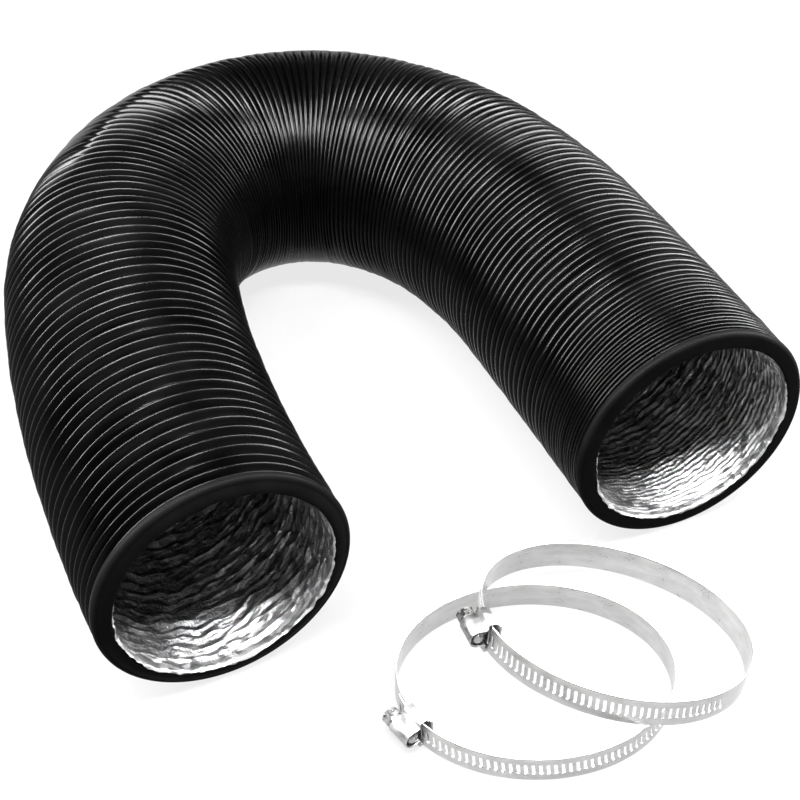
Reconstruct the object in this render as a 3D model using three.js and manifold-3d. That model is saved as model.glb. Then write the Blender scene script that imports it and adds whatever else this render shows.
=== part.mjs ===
// Flexible air duct: a wire-reinforced bellows of black film lined with foil, bent into a U on the
// floor, with the two worm-drive clamps that fasten its ends.
// Millimetres, +Z up, origin on the floor under the middle of everything.
import * as THREE from 'three';
import { mergeVertices } from 'three/addons/utils/BufferGeometryUtils.js';
import Module from 'manifold-3d';

const wasm = await Module();
wasm.setup();

// ---- driving dimensions ----

const GAP = 0.3; // between neighbouring solids

// The duct slides over a 100 mm (4 inch) collar.
const DUCT_RADIUS = 60;
const BORE_RADIUS = 50.5;
const FILM_THICKNESS = 1.6; // the ridges of the film, pressed together, as one plain wall
const FOIL_THICKNESS = 2.2; // the folds of the foil, as one plain wall
const WIRE_DIAMETER = 1.2;
const WIRE_CIRCLE = 56; // radius from the duct's centreline to the wire's
const WIRE_PITCH = 27; // the real wire has a turn under every ridge
const FILM_SIDES = 20;
const FOIL_SIDES = 16;
const WIRE_STEPS_PER_TURN = 12;
const WIRE_SIDES = 4;

// The centreline lies one duct radius above the floor, from the left mouth to the right one, as arcs
// that turn to the right.
const START = { x: -68.7, y: -162.2, heading: 116.6 };
const ROUTE = [
  { length: 130, turn: 8.6 }, // left leg
  { length: 75, turn: 7.7 },
  { length: 75, turn: 32.3 },
  { length: 140, turn: 87.8 }, // the tight middle of the bend
  { length: 75, turn: 29.7 },
  { length: 75, turn: 15.1 },
  { length: 133, turn: 2 }, // right leg
];

// Stretches of the duct. A firm one keeps its shape. The others stretch, or bend sideways.
const CUFF_LENGTH = 4;
const ZONES = [
  { name: 'left_end', length: 41 },
  { name: 'left_stretch', length: 80 },
  { name: 'left_leg', length: 30 },
  { name: 'left_flex', length: 90 },
  { name: 'bend_1', length: 42 },
  { name: 'bend_2', length: 42 },
  { name: 'bend_3', length: 42 },
  { name: 'bend_4', length: 42 },
  { name: 'bend_5', length: 42 },
  { name: 'right_flex', length: 90 },
  { name: 'right_leg', length: 30 },
  { name: 'right_stretch', length: 80 },
  { name: 'right_end', length: 44 },
];
const LONGEST_STEP = 42;
const SHARPEST_STEP = 11; // degrees of turn between two sections

const CUFF_ROUNDING = 3;
const CUFF_ROUNDING_STEPS = 3;
const CUFF_SIDES = 40;

// Clamp: a band with a worm screw, for hoses from 64 to 114 mm, lying open as a slight oval.
const LOOP = { long: 62, short: 49 }; // half axes of the band's centreline
const BAND_WIDTH = 14.3;
const BAND_THICKNESS = 0.65;
const BAND_STEP = 5; // degrees of the oval between two points of the band's outline
const HOUSING_AT = 208; // degrees round the oval
const OVERLAP_GAP = 0.5; // between the band's fixed end and the slotted end that slides over it
const TAIL_LENGTH = 13; // slotted end past the middle of the housing
const FIXED_END = 0.5; // distance of the band's fixed end from the middle of the housing

const SLOT_PITCH = 3.175; // eight slots to the inch
const SLOT_COUNT = 42;
const SLOT_WIDTH = 1.45;
const SLOT_HEIGHT = 6.3;
const SLOT_SLANT = 8; // degrees, the lead of the worm
const FIRST_SLOT = 2.5; // from the tail's end to the first slot's middle

const HOUSING_LENGTH = 11.5;
const SHEET = 0.7; // thickness of the housing's sheet
const WORM_RADIUS = 3.6;
const WORM_CORE = 2.7;
const WORM_CLEARANCE = 0.4;
const SHOULDER_CLEARANCE = 0.4;
const BAND_CLEARANCE = 0.7; // under the worm: the band tilts a little as it is pulled through
const NECK_RADIUS = 2.4;
const ARCH_STEPS = 10;
const HOLE_STEPS = 20;

const SADDLE_THICKNESS = 0.8;
const SADDLE_DROP = 0.6; // below the band's fixed end
const SADDLE_TO_TIP = 8.5; // from the middle of the housing
const SADDLE_TO_HEAD = 6.5;
const EAR_LENGTH = 2.4;
const EAR_HEIGHT = 1.8;
const EAR_STEPS = 4;

const HEAD_ACROSS_FLATS = 7.94; // 5/16 inch
const HEAD_LENGTH = 5;
const HEAD_CHAMFER = 0.6;
const HEAD_SLOT = { width: 1.2, depth: 2, turned: 35 }; // degrees from upright
const WASHER = { radius: 4.3, thickness: 0.8 };
const TIP_OVERHANG = 0.4; // worm's rounded tip past the housing
const TIP_FACE_RADIUS = 0.95;
const TIP_SHOULDER_RADIUS = 2;
const TIP_LENGTH = 1.2; // to the start of the thread
const THREAD_RUNOUT = 0.6; // plain shaft after the thread
const THREAD_CHAMFER = 0.3; // along the shaft, where the thread's ends slope down to it
const SCREW_SIDES = 12;
const THREAD_STEPS_PER_TURN = 6;

// Clamp 1 lies on the floor, on the ears under its housing and on its far side. Clamp 2 lies on top,
// on clamp 1's rim and on the floor at its right side.
const CLAMPS = [
  { name: 'clamp_1', x: 66, y: -171, z: 0.92, spin: 4, leanAxis: 137, lean: 0.93 },
  { name: 'clamp_2', x: 101, y: -153, z: 11.3, spin: -14, leanAxis: 130, lean: 11.5 },
];

// ---- looks ----

const film = new THREE.MeshStandardMaterial({ color: 0x0c0c0d, roughness: 0.35, metalness: 0 });
const foil = new THREE.MeshStandardMaterial({ color: 0xd4d6d9, roughness: 0.25, metalness: 1 });
const wire = new THREE.MeshStandardMaterial({ color: 0x8c8f93, roughness: 0.4, metalness: 1 });
const cuff = new THREE.MeshStandardMaterial({ color: 0x161617, roughness: 0.5, metalness: 0 });
const stainless = new THREE.MeshStandardMaterial({ color: 0xc4c6c8, roughness: 0.3, metalness: 1 });

// ---- helpers ----

const radians = THREE.MathUtils.degToRad;
const FULL_TURN = 2 * Math.PI;

function meshOf(name, geometry, material) {
  const mesh = new THREE.Mesh(geometry, material);
  mesh.name = name;
  return mesh;
}

// A closed mesh from corners and from faces that list them counter-clockwise, seen from outside.
function solidOf(corners, faces) {
  const geometry = new THREE.BufferGeometry();
  const position = corners.flatMap((corner) => [corner.x, corner.y, corner.z]);
  geometry.setAttribute('position', new THREE.Float32BufferAttribute(position, 3));
  geometry.setIndex(faces.flat());
  return geometry;
}

function merged(geometry) {
  const plain = geometry.clone();
  plain.deleteAttribute('normal');
  plain.deleteAttribute('uv');
  return mergeVertices(plain, 1e-4);
}

function manifoldOf(geometry) {
  const plain = merged(geometry);
  return new wasm.Manifold(new wasm.Mesh({
    numProp: 3,
    vertProperties: new Float32Array(plain.attributes.position.array),
    triVerts: new Uint32Array(plain.index.array),
  }));
}

function geometryOf(manifold) {
  const mesh = manifold.getMesh();
  const geometry = new THREE.BufferGeometry();
  geometry.setAttribute('position', new THREE.BufferAttribute(mesh.vertProperties, 3));
  geometry.setIndex(new THREE.BufferAttribute(mesh.triVerts, 1));
  return geometry;
}

// Rings of corners joined one to the next, with each end closed towards its middle.
function loft(rings) {
  const sides = rings[0].length;
  const corners = rings.flat();
  const faces = [];
  for (let i = 0; i < rings.length - 1; i += 1) {
    for (let j = 0; j < sides; j += 1) {
      const next = (j + 1) % sides;
      const [a, b] = [i * sides + j, i * sides + next];
      faces.push([a, b, b + sides], [a, b + sides, a + sides]);
    }
  }
  const last = (rings.length - 1) * sides;
  for (let j = 1; j < sides - 1; j += 1) {
    faces.push([0, j + 1, j], [last, last + j, last + j + 1]);
  }
  return solidOf(corners, faces);
}

// ---- duct ----

// Place and heading, in radians, at a distance along the centreline.
function routeAt(distance) {
  let { x, y } = START;
  let heading = radians(START.heading);
  let left = distance;
  for (const arc of ROUTE) {
    const run = Math.min(left, arc.length);
    const turn = radians(arc.turn) * run / arc.length;
    const chord = turn === 0 ? run : 2 * run / turn * Math.sin(turn / 2);
    x += chord * Math.cos(heading - turn / 2);
    y += chord * Math.sin(heading - turn / 2);
    heading -= turn;
    left -= run;
  }
  return { x, y, heading };
}

// Point at a distance along the duct, an angle round it and a radius from its centreline. The angle
// starts at the duct's left side and rises over its top.
function onDuct(distance, angle, radius) {
  const { x, y, heading } = routeAt(distance);
  const side = radius * Math.cos(angle);
  return new THREE.Vector3(
    x - side * Math.sin(heading),
    y + side * Math.cos(heading),
    DUCT_RADIUS + radius * Math.sin(angle),
  );
}

// Distances of the sections from one end of a zone to the other, closer where it bends more.
function sectionsOf(from, to) {
  const turn = THREE.MathUtils.radToDeg(routeAt(from).heading - routeAt(to).heading);
  const steps = Math.max(Math.ceil((to - from) / LONGEST_STEP), Math.ceil(turn / SHARPEST_STEP));
  return Array.from({ length: steps + 1 }, (_, i) => from + (to - from) * i / steps);
}

// A plain sleeve round the centreline: four walls, the outside, the far end, the inside, the near end.
function sleeve(from, to, outer, inner, sides) {
  const sections = sectionsOf(from, to);
  const ring = (distance, radius) => Array.from({ length: sides }, (_, j) => (
    onDuct(distance, FULL_TURN * j / sides - Math.PI / 2, radius)
  ));
  const rings = [
    ...sections.map((distance) => ring(distance, outer)),
    ...sections.reverse().map((distance) => ring(distance, inner)),
  ];
  const faces = [];
  for (let i = 0; i < rings.length; i += 1) {
    const here = i * sides;
    const there = (i + 1) % rings.length * sides;
    for (let j = 0; j < sides; j += 1) {
      const next = (j + 1) % sides;
      faces.push([here + j, here + next, there + next], [here + j, there + next, there + j]);
    }
  }
  return solidOf(rings.flat(), faces);
}

class WireCurve extends THREE.Curve {
  constructor(from, to) {
    super();
    this.from = from;
    this.to = to;
  }

  getPoint(t) {
    const distance = this.from + (this.to - this.from) * t;
    return onDuct(distance, FULL_TURN * distance / WIRE_PITCH, WIRE_CIRCLE);
  }
}

function wireHelix(from, to) {
  const radius = WIRE_DIAMETER / 2;
  const section = new THREE.Shape(Array.from({ length: WIRE_SIDES }, (_, i) => new THREE.Vector2(
    radius * Math.cos(FULL_TURN * i / WIRE_SIDES),
    radius * Math.sin(FULL_TURN * i / WIRE_SIDES),
  )));
  return new THREE.ExtrudeGeometry(section, {
    steps: Math.ceil((to - from) / WIRE_PITCH * WIRE_STEPS_PER_TURN),
    extrudePath: new WireCurve(from + radius, to - radius),
  });
}

// A flat ring that closes the folded wall at a mouth, with a rounded outer shoulder. The lathe's
// axis is turned to point out of the mouth.
function endCuff(distance, outwards) {
  const thickness = CUFF_LENGTH - GAP;
  const profile = [new THREE.Vector2(BORE_RADIUS, 0), new THREE.Vector2(DUCT_RADIUS, 0)];
  for (let i = 0; i <= CUFF_ROUNDING_STEPS; i += 1) {
    const angle = i / CUFF_ROUNDING_STEPS * Math.PI / 2;
    profile.push(new THREE.Vector2(
      DUCT_RADIUS - CUFF_ROUNDING * (1 - Math.cos(angle)),
      thickness - CUFF_ROUNDING * (1 - Math.sin(angle)),
    ));
  }
  profile.push(new THREE.Vector2(BORE_RADIUS, thickness), new THREE.Vector2(BORE_RADIUS, 0));
  const geometry = new THREE.LatheGeometry(profile, CUFF_SIDES);
  const { x, y, heading } = routeAt(distance);
  const axis = new THREE.Vector3(Math.cos(heading), Math.sin(heading), 0).multiplyScalar(outwards);
  const down = new THREE.Vector3(0, 0, -1);
  const place = new THREE.Matrix4().makeBasis(axis.clone().cross(down), axis, down);
  place.setPosition(x, y, DUCT_RADIUS);
  return merged(geometry.applyMatrix4(place));
}

function duct() {
  const group = new THREE.Group();
  const total = ROUTE.reduce((sum, arc) => sum + arc.length, 0);
  group.add(
    meshOf('end_cuff_left', endCuff(CUFF_LENGTH - GAP, -1), cuff),
    meshOf('end_cuff_right', endCuff(total - CUFF_LENGTH + GAP, 1), cuff),
  );
  let start = CUFF_LENGTH;
  for (const zone of ZONES) {
    const [from, to] = [start + GAP / 2, start + zone.length - GAP / 2];
    const outer = sleeve(from, to, DUCT_RADIUS, DUCT_RADIUS - FILM_THICKNESS, FILM_SIDES);
    const inner = sleeve(from, to, BORE_RADIUS + FOIL_THICKNESS, BORE_RADIUS, FOIL_SIDES);
    group.add(
      meshOf(`outer_film_${zone.name}`, outer, film),
      meshOf(`foil_liner_${zone.name}`, inner, foil),
      meshOf(`spring_wire_${zone.name}`, wireHelix(from, to), wire),
    );
    start += zone.length;
  }
  return group;
}

// ---- clamps ----

// The oval's point and outward direction at an angle.
function onLoop(angle, offset) {
  const outward = new THREE.Vector2(LOOP.short * Math.cos(angle), LOOP.long * Math.sin(angle));
  outward.normalize();
  return new THREE.Vector2(
    LOOP.long * Math.cos(angle) + offset * outward.x,
    LOOP.short * Math.sin(angle) + offset * outward.y,
  );
}

function speedAt(angle) {
  return Math.hypot(LOOP.long * Math.sin(angle), LOOP.short * Math.cos(angle));
}

// The angle reached after a length of band from a start angle.
function angleAfter(start, length) {
  const pieces = 400;
  let angle = start;
  for (let i = 0; i < pieces; i += 1) {
    const middle = angle + length / pieces / 2 / speedAt(angle);
    angle += length / pieces / speedAt(middle);
  }
  return angle;
}

const housingAngle = radians(HOUSING_AT);

// Axes at the housing: along the screw towards its head, outwards, and up.
function housingAxes() {
  const outward = new THREE.Vector3(
    LOOP.short * Math.cos(housingAngle),
    LOOP.long * Math.sin(housingAngle),
    0,
  ).normalize();
  const up = new THREE.Vector3(0, 0, 1);
  const along = outward.clone().cross(up);
  const point = onLoop(housingAngle, 0);
  return { along, outward, up, origin: new THREE.Vector3(point.x, point.y, 0) };
}

// Turns coordinates (along, outward, up) at the housing into the clamp's own.
function housingFrame() {
  const { along, outward, up, origin } = housingAxes();
  return new THREE.Matrix4().makeBasis(along, outward, up).setPosition(origin);
}

// The band's fold line is where the line through the housing, square to the band, meets the far side.
function farAngle() {
  const { outward, origin } = housingAxes();
  const [a, b] = [LOOP.long ** 2, LOOP.short ** 2];
  const across = 2 * (origin.x * outward.x / a + origin.y * outward.y / b)
    / (outward.x ** 2 / a + outward.y ** 2 / b);
  const far = origin.clone().addScaledVector(outward, -across);
  return Math.atan2(far.y / LOOP.short, far.x / LOOP.long);
}

const foldAngle = farAngle();
const localRadius = speedAt(housingAngle) ** 3 / (LOOP.long * LOOP.short);

// A strip on edge along the oval, from one angle to another, with an offset that may change along it.
function strip(from, to, offsetAt) {
  const steps = Math.ceil((to - from) / radians(BAND_STEP));
  const side = (distance) => Array.from({ length: steps + 1 }, (_, i) => {
    const angle = from + (to - from) * i / steps;
    return onLoop(angle, offsetAt(angle) + distance);
  });
  const outline = new THREE.Shape([
    ...side(BAND_THICKNESS / 2),
    ...side(-BAND_THICKNESS / 2).reverse(),
  ]);
  return new THREE.ExtrudeGeometry(outline, { depth: BAND_WIDTH, bevelEnabled: false });
}

function plainBand() {
  const halfGap = GAP / 2 / speedAt(foldAngle);
  const end = angleAfter(housingAngle, -FIXED_END);
  return merged(strip(foldAngle + halfGap, end, () => 0));
}

const slottedOffset = BAND_THICKNESS + OVERLAP_GAP;

// Slotted half: over the fixed end at the housing, and easing in to meet the plain half.
function slottedBand() {
  const tail = angleAfter(housingAngle, -TAIL_LENGTH);
  const fold = foldAngle + FULL_TURN - GAP / 2 / speedAt(foldAngle);
  const offsetAt = (angle) => slottedOffset * Math.min(1, (fold - angle) / (fold - housingAngle));
  let band = manifoldOf(strip(tail, fold, offsetAt));
  for (let i = 0; i < SLOT_COUNT; i += 1) {
    const angle = angleAfter(tail, FIRST_SLOT + i * SLOT_PITCH);
    const middle = onLoop(angle, offsetAt(angle));
    const slot = new THREE.BoxGeometry(SLOT_WIDTH, 4 * BAND_THICKNESS, SLOT_HEIGHT);
    slot.rotateY(-radians(SLOT_SLANT));
    slot.rotateZ(Math.atan2(LOOP.short * Math.cos(angle), -LOOP.long * Math.sin(angle)));
    slot.translate(middle.x, middle.y, BAND_WIDTH / 2);
    band = band.subtract(manifoldOf(slot));
  }
  return geometryOf(band);
}

const slottedTop = slottedOffset + BAND_THICKNESS / 2;
const screwHeight = slottedTop + BAND_CLEARANCE + WORM_RADIUS; // outwards from the oval
const shoulder = slottedTop + SHOULDER_CLEARANCE;
const saddleTop = -BAND_THICKNESS / 2 - SADDLE_DROP;

// Section of the housing, outwards and up: an arch over the worm, a shoulder on each side of it, and
// a flange past each edge of the band.
function archOutline(radius, shoulderAt, flangeAt, footAt) {
  const middle = BAND_WIDTH / 2;
  const points = [
    new THREE.Vector2(footAt, middle - flangeAt),
    new THREE.Vector2(shoulderAt, middle - flangeAt),
    new THREE.Vector2(shoulderAt, middle - radius),
  ];
  for (let i = 0; i <= ARCH_STEPS; i += 1) {
    const angle = Math.PI * (i / ARCH_STEPS - 1 / 2);
    points.push(new THREE.Vector2(
      screwHeight + radius * Math.cos(angle),
      middle + radius * Math.sin(angle),
    ));
  }
  points.push(
    new THREE.Vector2(shoulderAt, middle + radius),
    new THREE.Vector2(shoulderAt, middle + flangeAt),
    new THREE.Vector2(footAt, middle + flangeAt),
  );
  return points;
}

// Stands an (outward, up) section at the housing, so that its extrusion runs towards the head.
function standAtHousing(geometry, along) {
  const axes = housingAxes();
  const place = new THREE.Matrix4().makeBasis(axes.outward, axes.up, axes.along);
  place.setPosition(axes.origin.clone().addScaledVector(axes.along, along));
  return geometry.applyMatrix4(place);
}

function housing() {
  const inside = WORM_RADIUS + WORM_CLEARANCE;
  const flange = BAND_WIDTH / 2 + GAP;
  const foot = saddleTop - SADDLE_THICKNESS;
  const outline = [
    ...archOutline(inside + SHEET, shoulder + SHEET, flange + SHEET, foot),
    ...archOutline(inside, shoulder, flange, foot).reverse(),
  ];
  const cover = standAtHousing(
    new THREE.ExtrudeGeometry(new THREE.Shape(outline), {
      depth: HOUSING_LENGTH,
      bevelEnabled: false,
    }),
    -HOUSING_LENGTH / 2,
  );
  // the wall at the head end, cut off above the band, with the hole that the screw's neck turns in
  const wall = new THREE.Shape();
  const edge = inside + SHEET / 2;
  const reach = Math.acos((shoulder - screwHeight) / edge);
  wall.absarc(screwHeight, BAND_WIDTH / 2, edge, -reach, reach);
  const hole = new THREE.Path();
  hole.absarc(screwHeight, BAND_WIDTH / 2, NECK_RADIUS + WORM_CLEARANCE, 0, FULL_TURN, true);
  wall.holes.push(hole);
  const head = standAtHousing(
    new THREE.ExtrudeGeometry(wall, { depth: SHEET, bevelEnabled: false, curveSegments: HOLE_STEPS }),
    HOUSING_LENGTH / 2 - SHEET,
  );
  return geometryOf(manifoldOf(cover).add(manifoldOf(head)));
}

// Curved plate under the housing, with rounded ears past the band's edges at the worm's tip.
function saddle() {
  const [tip, ear, head] = [-SADDLE_TO_TIP, -SADDLE_TO_TIP + EAR_LENGTH, SADDLE_TO_HEAD];
  const outline = new THREE.Shape();
  outline.moveTo(tip, 0);
  outline.quadraticCurveTo(tip, -EAR_HEIGHT, (tip + ear) / 2, -EAR_HEIGHT);
  outline.quadraticCurveTo(ear, -EAR_HEIGHT, ear, 0);
  outline.lineTo(0, 0);
  outline.lineTo(head, 0);
  outline.lineTo(head, BAND_WIDTH);
  outline.lineTo(0, BAND_WIDTH);
  outline.lineTo(ear, BAND_WIDTH);
  outline.quadraticCurveTo(ear, BAND_WIDTH + EAR_HEIGHT, (tip + ear) / 2, BAND_WIDTH + EAR_HEIGHT);
  outline.quadraticCurveTo(tip, BAND_WIDTH + EAR_HEIGHT, tip, BAND_WIDTH);
  const plate = new THREE.ExtrudeGeometry(outline, {
    depth: SADDLE_THICKNESS,
    bevelEnabled: false,
    curveSegments: EAR_STEPS,
  });
  plate.rotateX(Math.PI / 2); // the outline's second coordinate becomes up, its depth inwards
  plate.translate(0, saddleTop, 0);
  const position = plate.attributes.position;
  for (let i = 0; i < position.count; i += 1) {
    position.setY(i, position.getY(i) - position.getX(i) ** 2 / (2 * localRadius));
  }
  return merged(plate.applyMatrix4(housingFrame()));
}

// Worm screw: rings of corners from its rounded tip to its slotted six-sided head.
function screw() {
  const tip = -HOUSING_LENGTH / 2 - TIP_OVERHANG;
  const neck = HOUSING_LENGTH / 2 - SHEET - GAP;
  const washer = HOUSING_LENGTH / 2 + GAP;
  const head = washer + WASHER.thickness;
  const top = head + HEAD_LENGTH;
  const threadStart = tip + TIP_LENGTH;
  const threadEnd = neck - THREAD_RUNOUT;
  const corner = HEAD_ACROSS_FLATS / 2 / Math.cos(Math.PI / 6);
  const round = (radius) => () => radius;
  const thread = (along) => (angle) => {
    const phase = along / SLOT_PITCH - angle / FULL_TURN;
    const height = THREE.MathUtils.clamp(0.5 + Math.cos(FULL_TURN * phase), 0, 1);
    return WORM_CORE + (WORM_RADIUS - WORM_CORE) * height;
  };
  const hexagon = (across) => (angle) => {
    const fromFlat = ((angle % (Math.PI / 3)) + Math.PI / 3) % (Math.PI / 3) - Math.PI / 6;
    return across / 2 / Math.cos(fromFlat);
  };
  const stations = [
    [tip, round(TIP_FACE_RADIUS)],
    [tip + THREAD_CHAMFER, round(TIP_SHOULDER_RADIUS)],
    [threadStart - THREAD_CHAMFER, round(WORM_CORE)],
  ];
  const turns = (threadEnd - threadStart) / SLOT_PITCH;
  const threadSteps = Math.ceil(turns * THREAD_STEPS_PER_TURN);
  for (let i = 0; i <= threadSteps; i += 1) {
    const along = threadStart + (threadEnd - threadStart) * i / threadSteps;
    stations.push([along, thread(along)]);
  }
  stations.push(
    [threadEnd + THREAD_CHAMFER, round(NECK_RADIUS)],
    [washer, round(NECK_RADIUS)],
    [washer, round(WASHER.radius)],
    [head, round(WASHER.radius)],
    [head, hexagon(HEAD_ACROSS_FLATS)],
    [top - HEAD_CHAMFER, hexagon(HEAD_ACROSS_FLATS)],
    [top, round(corner - HEAD_CHAMFER)],
  );
  const rings = stations.map(([along, radiusAt]) => Array.from({ length: SCREW_SIDES }, (_, j) => {
    const angle = FULL_TURN * j / SCREW_SIDES;
    const radius = radiusAt(angle);
    return new THREE.Vector3(
      along,
      screwHeight + radius * Math.cos(angle),
      BAND_WIDTH / 2 + radius * Math.sin(angle),
    );
  }));
  const slot = new THREE.BoxGeometry(HEAD_SLOT.depth * 2, 4 * corner, HEAD_SLOT.width);
  slot.rotateX(radians(HEAD_SLOT.turned));
  slot.translate(top, screwHeight, BAND_WIDTH / 2);
  const body = manifoldOf(loft(rings)).subtract(manifoldOf(slot));
  return geometryOf(body).applyMatrix4(housingFrame());
}

function clamp({ name, x, y, z, spin, leanAxis, lean }) {
  const group = new THREE.Group();
  const axis = new THREE.Vector3(Math.cos(radians(leanAxis)), Math.sin(radians(leanAxis)), 0);
  group.quaternion.setFromAxisAngle(axis, radians(lean));
  group.rotateZ(radians(spin));
  group.position.set(x, y, z);
  group.add(
    meshOf(`${name}_band`, plainBand(), stainless),
    meshOf(`${name}_slotted_band`, slottedBand(), stainless),
    meshOf(`${name}_housing`, housing(), stainless),
    meshOf(`${name}_saddle`, saddle(), stainless),
    meshOf(`${name}_screw`, screw(), stainless),
  );
  return group;
}

// ---- assembly ----

const assembly = new THREE.Group();
assembly.add(duct(), ...CLAMPS.map(clamp));

export default assembly;
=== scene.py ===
import math

import bmesh
import bpy
import numpy as np
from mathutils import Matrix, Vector


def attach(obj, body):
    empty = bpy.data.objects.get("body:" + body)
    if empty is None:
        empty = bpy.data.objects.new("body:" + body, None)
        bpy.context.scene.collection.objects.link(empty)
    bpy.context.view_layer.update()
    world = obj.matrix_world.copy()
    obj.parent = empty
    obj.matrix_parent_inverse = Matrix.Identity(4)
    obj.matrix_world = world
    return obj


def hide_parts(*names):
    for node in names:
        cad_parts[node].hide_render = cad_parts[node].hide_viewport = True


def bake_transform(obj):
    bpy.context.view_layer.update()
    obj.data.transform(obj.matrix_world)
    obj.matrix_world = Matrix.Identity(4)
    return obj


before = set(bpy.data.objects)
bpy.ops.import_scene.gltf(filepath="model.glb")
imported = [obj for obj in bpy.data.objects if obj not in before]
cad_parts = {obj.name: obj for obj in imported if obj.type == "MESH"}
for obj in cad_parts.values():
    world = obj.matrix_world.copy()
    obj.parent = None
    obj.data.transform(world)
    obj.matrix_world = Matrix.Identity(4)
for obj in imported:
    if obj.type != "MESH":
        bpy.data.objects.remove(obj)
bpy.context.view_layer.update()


def placed(name, data):
    """A new object in the scene, of a mesh, a light or a camera."""
    piece = bpy.data.objects.new(name, data)
    bpy.context.scene.collection.objects.link(piece)
    return piece


# Camera: a long lens in front of the two mouths, looking down at the floor between them.

MM = 0.001
CAMERA_LENS = 75.5
CAMERA_DISTANCE = 0.8961
CAMERA_ELEVATION = math.radians(42.42)
CAMERA_TARGET = Vector((6 * MM, 21 * MM, 0))

camera = placed("camera", bpy.data.cameras.new("camera"))
camera.data.lens = CAMERA_LENS
camera.data.sensor_width = 36
camera.data.clip_start = 0.01
camera.location = CAMERA_TARGET + CAMERA_DISTANCE * Vector(
    (0, -math.cos(CAMERA_ELEVATION), math.sin(CAMERA_ELEVATION))
)
camera.rotation_euler = (math.pi / 2 - CAMERA_ELEVATION, 0, 0)
bpy.context.scene.camera = camera


# Outer film: one long tube of black PVC film, bonded over a coil of spring wire. Each turn of the
# wire holds out a ridge, and the film sinks in between the turns. It follows the centreline of the
# CAD model, in four lengths that meet in the bottom of a valley.

START_X = -68.7 * MM
START_Y = -162.2 * MM
START_HEADING = math.radians(116.6)
ARC_LENGTHS = np.array([130, 75, 75, 140, 75, 75, 133]) * MM
ARC_TURNS = np.radians([8.6, 7.7, 32.3, 87.8, 29.7, 15.1, 2])
DUCT_LENGTH = ARC_LENGTHS.sum()
DUCT_RADIUS = 60 * MM
CUFF_LENGTH = 4 * MM


def route(distance):
    """Place and heading at distances along the centreline. The route is arcs joined end to end: a run
    along an arc moves by its chord, in the direction halfway between the headings at its ends. Past
    the last arc it goes straight on."""
    x = np.full_like(distance, START_X)
    y = np.full_like(distance, START_Y)
    heading = np.full_like(distance, START_HEADING)
    left = distance.copy()
    for length, turn in zip(ARC_LENGTHS, ARC_TURNS):
        run = np.minimum(left, length)
        turned = turn * run / length
        chord = run * np.sinc(turned / 2 / np.pi)
        x += chord * np.cos(heading - turned / 2)
        y += chord * np.sin(heading - turned / 2)
        heading -= turned
        left -= run
    return x + left * np.cos(heading), y + left * np.sin(heading), heading


def on_duct(distance, angle, radius):
    """Points round the centreline, each its radius away at its angle. The angle starts at the duct's
    left side and rises over its top, in the upright plane square to the route."""
    x, y, heading = route(distance)
    side = radius * np.cos(angle)
    height = DUCT_RADIUS + radius * np.sin(angle)
    return np.stack([x - side * np.sin(heading), y + side * np.cos(heading), height], axis=-1)


def route_point(distance):
    """One point of the centreline, as three numbers."""
    x, y = route(np.array([distance]))[:2]
    return (float(x[0]), float(y[0]), DUCT_RADIUS)


def grid_faces(index, closed):
    """Four-sided faces between neighbours in a grid of point numbers. Closed, each row's last point
    is a neighbour of its first."""
    if closed:
        index = np.concatenate([index, index[:, :1]], axis=1)
    quads = [index[:-1, :-1], index[:-1, 1:], index[1:, 1:], index[1:, :-1]]
    return np.stack(quads, axis=-1).reshape(-1, 4)


def give_values(mesh, values):
    """Lets each point of a mesh carry named vectors, which its material reads."""
    for key, value in values.items():
        layer = mesh.attributes.new(key, "FLOAT_VECTOR", "POINT")
        layer.data.foreach_set("vector", value.reshape(-1).astype(np.float32))


def grid_piece(name, points, values):
    """A mesh from a grid of points, with rows along the piece and closed columns round it."""
    faces = grid_faces(np.arange(points[..., 0].size).reshape(points.shape[:2]), closed=True)
    mesh = bpy.data.meshes.new(name)
    mesh.vertices.add(points[..., 0].size)
    mesh.vertices.foreach_set("co", points.reshape(-1).astype(np.float32))
    mesh.loops.add(faces.size)
    mesh.loops.foreach_set("vertex_index", faces.reshape(-1).astype(np.int32))
    mesh.polygons.add(len(faces))
    mesh.polygons.foreach_set("loop_start", np.arange(0, faces.size, 4, dtype=np.int32))
    mesh.update(calc_edges=True)
    mesh.shade_smooth()
    give_values(mesh, values)
    return placed(name, mesh)


def angles_round(sides):
    """Even angles round the duct, from its underside on."""
    return (np.arange(sides) / sides - 0.25) * 2 * np.pi


# Turns of the wire lie further apart on the left leg and are pressed together at the right mouth.
PITCH_PLACES = np.array([0, 30, 60, 190, 250, 340, 390, 450, 550, 643, 661, 703]) * MM
PITCHES = np.array([5.6, 6.2, 6.9, 6.7, 5.3, 4.2, 4.2, 4.5, 4.8, 5.0, 2.9, 2.3]) * MM
BEND_RATES = ARC_TURNS / ARC_LENGTHS
BEND_PLACES = np.cumsum(ARC_LENGTHS) - ARC_LENGTHS / 2

fine_places = np.linspace(CUFF_LENGTH, DUCT_LENGTH - CUFF_LENGTH, 4001)
turns_per_metre = 1 / np.interp(fine_places, PITCH_PLACES, PITCHES)
turns_per_step = np.diff(fine_places) * (turns_per_metre[1:] + turns_per_metre[:-1]) / 2
fine_turns = np.concatenate([[0], np.cumsum(turns_per_step)])
TURNS = int(round(fine_turns[-1]))
fine_turns *= TURNS / fine_turns[-1]

SHIFT = 0.05  # share of a turn that one ridge lies out of its place
OWN_LEAN = 0.6  # how much of such a shift one ridge leans on its own
LEAN = 5 * MM  # the ridges stand askew, their right sides ahead
LEAN_EASE = 35 * MM  # of duct from a cuff to where they lean in full
RIDGE_DROP = 0.25 * MM  # at most, from the full radius to one ridge

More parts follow.
